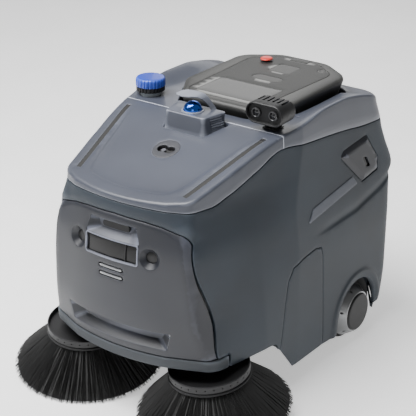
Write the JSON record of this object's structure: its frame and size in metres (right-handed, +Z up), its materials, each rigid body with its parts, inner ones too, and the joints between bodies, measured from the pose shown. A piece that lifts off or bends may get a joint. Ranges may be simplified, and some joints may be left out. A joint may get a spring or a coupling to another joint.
{
  "type": "autonomous floor sweeper",
  "caption": "Autonomous robotic floor sweeper with tilted side brushes, hidden roller and hopper drawer, driven wheels, casters, console and sensors.",
  "frame": {"origin": "floor level, under the middle of the overall length and width", "axes": "+Z up, front towards -Y, the machine's own left side towards +X"},
  "size_m": [0.9114, 1.0855, 0.857],
  "materials": {
    "frame_steel": "satin powder coat",
    "zinc_steel": "zinc plated",
    "motor_alloy": "cast and machined",
    "tyre_rubber": "moulded tread",
    "grey_rubber": "matte",
    "hub_paint": "satin",
    "dark_plastic": "fine texture",
    "bristle_nylon": "bundled nylon bristles",
    "hopper_plastic": "rotational moulding",
    "filter_paper": "pleated paper",
    "tank_plastic": "translucent white",
    "cap_blue": "moulded",
    "dome_blue": "lit dome",
    "body_graphite": "grained moulding",
    "cover_grey": "satin moulding",
    "deck_grey": "satin metallic paint",
    "bumper_grey": "soft bumper strip",
    "black_gloss": "infrared window",
    "sensor_black": "fine texture",
    "bar_metal": "brushed",
    "plate_metal": "brushed plate",
    "console_grey": "fine texture",
    "screen_grey": "anti glare",
    "stop_red": "moulded",
    "box_grey": "powder coat"
  },
  "bodies": {
    "machine": {"chassis_frame": "frame_steel", "roller_hood": "dark_plastic", "hub_motors": "motor_alloy", "caster_mounts": "zinc_steel", "brush_arm_left": "frame_steel", "brush_arm_right": "frame_steel", "brush_motor_left": "dark_plastic", "brush_motor_right": "dark_plastic", "roller_motor": "dark_plastic", "dust_filter": "filter_paper", "fan_housing": "dark_plastic", "battery_pack": "dark_plastic", "control_box": "box_grey", "water_tank": "tank_plastic", "body_shell_left": "body_graphite", "body_shell_right": "body_graphite", "front_cover": "cover_grey", "front_bumper": "bumper_grey", "top_deck": "deck_grey", "rear_deck": "deck_grey", "upper_frames": "frame_steel", "light_strips": "bar_metal", "deck_socket": "sensor_black", "turret_housing": "deck_grey", "turret_dome": "dome_blue", "turret_strap": "deck_grey", "lidar_window": "black_gloss", "lidar_unit": "sensor_black", "front_sensors": "sensor_black", "slot_bars": "bar_metal", "sensor_pods": "body_graphite", "badge_plates": "plate_metal", "console_housing": "console_grey", "console_panel": "console_grey", "touch_screen": "screen_grey", "stop_base": "dark_plastic", "stereo_camera": "sensor_black"},
    "wheel_left": {"tyre_left": "tyre_rubber", "wheel_hub_left": "hub_paint"},
    "wheel_right": {"tyre_right": "tyre_rubber", "wheel_hub_right": "hub_paint"},
    "fork_left": {"caster_fork_left": "zinc_steel"},
    "fork_right": {"caster_fork_right": "zinc_steel"},
    "caster_left": {"caster_wheel_left": "grey_rubber"},
    "caster_right": {"caster_wheel_right": "grey_rubber"},
    "brush_left": {"brush_plate_left": "dark_plastic", "bristles_left": "bristle_nylon"},
    "brush_right": {"brush_plate_right": "dark_plastic", "bristles_right": "bristle_nylon"},
    "roller": {"roller_core": "motor_alloy", "roller_bristles": "bristle_nylon"},
    "impeller": {"fan_impeller": "dark_plastic"},
    "hopper_drawer": {"dust_hopper": "hopper_plastic", "rear_door": "body_graphite"},
    "cover_left": {"side_door_left": "body_graphite"},
    "cover_right": {"side_door_right": "body_graphite"},
    "stop_knob": {"stop_button": "stop_red"},
    "power_key": {"power_button": "console_grey"},
    "filler_cap": {"filler_cap_skirt": "dark_plastic", "filler_cap_top": "cap_blue"}
  },
  "joints": [
    {"name": "drive_wheel_left", "type": "hinge", "parent": "machine", "child": "wheel_left", "pos_m": [0.27, 0.297, 0.095], "axis": [1, 0, 0], "continuous": true},
    {"name": "drive_wheel_right", "type": "hinge", "parent": "machine", "child": "wheel_right", "pos_m": [-0.27, 0.297, 0.095], "axis": [1, 0, 0], "continuous": true},
    {"name": "caster_swivel_left", "type": "hinge", "parent": "machine", "child": "fork_left", "pos_m": [0.112, -0.02, 0.11], "axis": [0, 0, 1], "continuous": true},
    {"name": "caster_swivel_right", "type": "hinge", "parent": "machine", "child": "fork_right", "pos_m": [-0.112, -0.02, 0.11], "axis": [0, 0, 1], "continuous": true},
    {"name": "caster_roll_left", "type": "hinge", "parent": "fork_left", "child": "caster_left", "pos_m": [0.112, 0, 0.037], "axis": [1, 0, 0], "continuous": true},
    {"name": "caster_roll_right", "type": "hinge", "parent": "fork_right", "child": "caster_right", "pos_m": [-0.112, 0, 0.037], "axis": [1, 0, 0], "continuous": true},
    {"name": "side_brush_left", "type": "hinge", "parent": "machine", "child": "brush_left", "pos_m": [0.23, -0.318, 0.02835], "axis": [-0.052, -0.1132, 0.9922], "continuous": true},
    {"name": "side_brush_right", "type": "hinge", "parent": "machine", "child": "brush_right", "pos_m": [-0.23, -0.318, 0.02835], "axis": [0.052, -0.1132, 0.9922], "continuous": true},
    {"name": "roller_spin", "type": "hinge", "parent": "machine", "child": "roller", "pos_m": [0, 0.138, 0.0745], "axis": [1, 0, 0], "continuous": true},
    {"name": "fan_spin", "type": "hinge", "parent": "machine", "child": "impeller", "pos_m": [0.096, 0.34, 0.31], "axis": [0, 0, 1], "continuous": true},
    {"name": "hopper_slide", "type": "slide", "parent": "machine", "child": "hopper_drawer", "axis": [0, 1, 0], "range_m": [0, 0.22]},
    {"name": "cover_pull_left", "type": "slide", "parent": "machine", "child": "cover_left", "axis": [1, 0, 0], "range_m": [0, 0.15]},
    {"name": "cover_pull_right", "type": "slide", "parent": "machine", "child": "cover_right", "axis": [-1, 0, 0], "range_m": [0, 0.15]},
    {"name": "stop_press", "type": "slide", "parent": "machine", "child": "stop_knob", "axis": [0, 0, -1], "range_m": [0, 0.004], "stiffness_N_per_m": 1500, "springref_m": -0.004},
    {"name": "power_press", "type": "slide", "parent": "machine", "child": "power_key", "axis": [0, 0, -1], "range_m": [0, 0.002], "stiffness_N_per_m": 400, "springref_m": -0.004},
    {"name": "cap_lift", "type": "slide", "parent": "machine", "child": "filler_cap", "axis": [0, 0, 1], "range_m": [0, 0.08]}
  ]
}
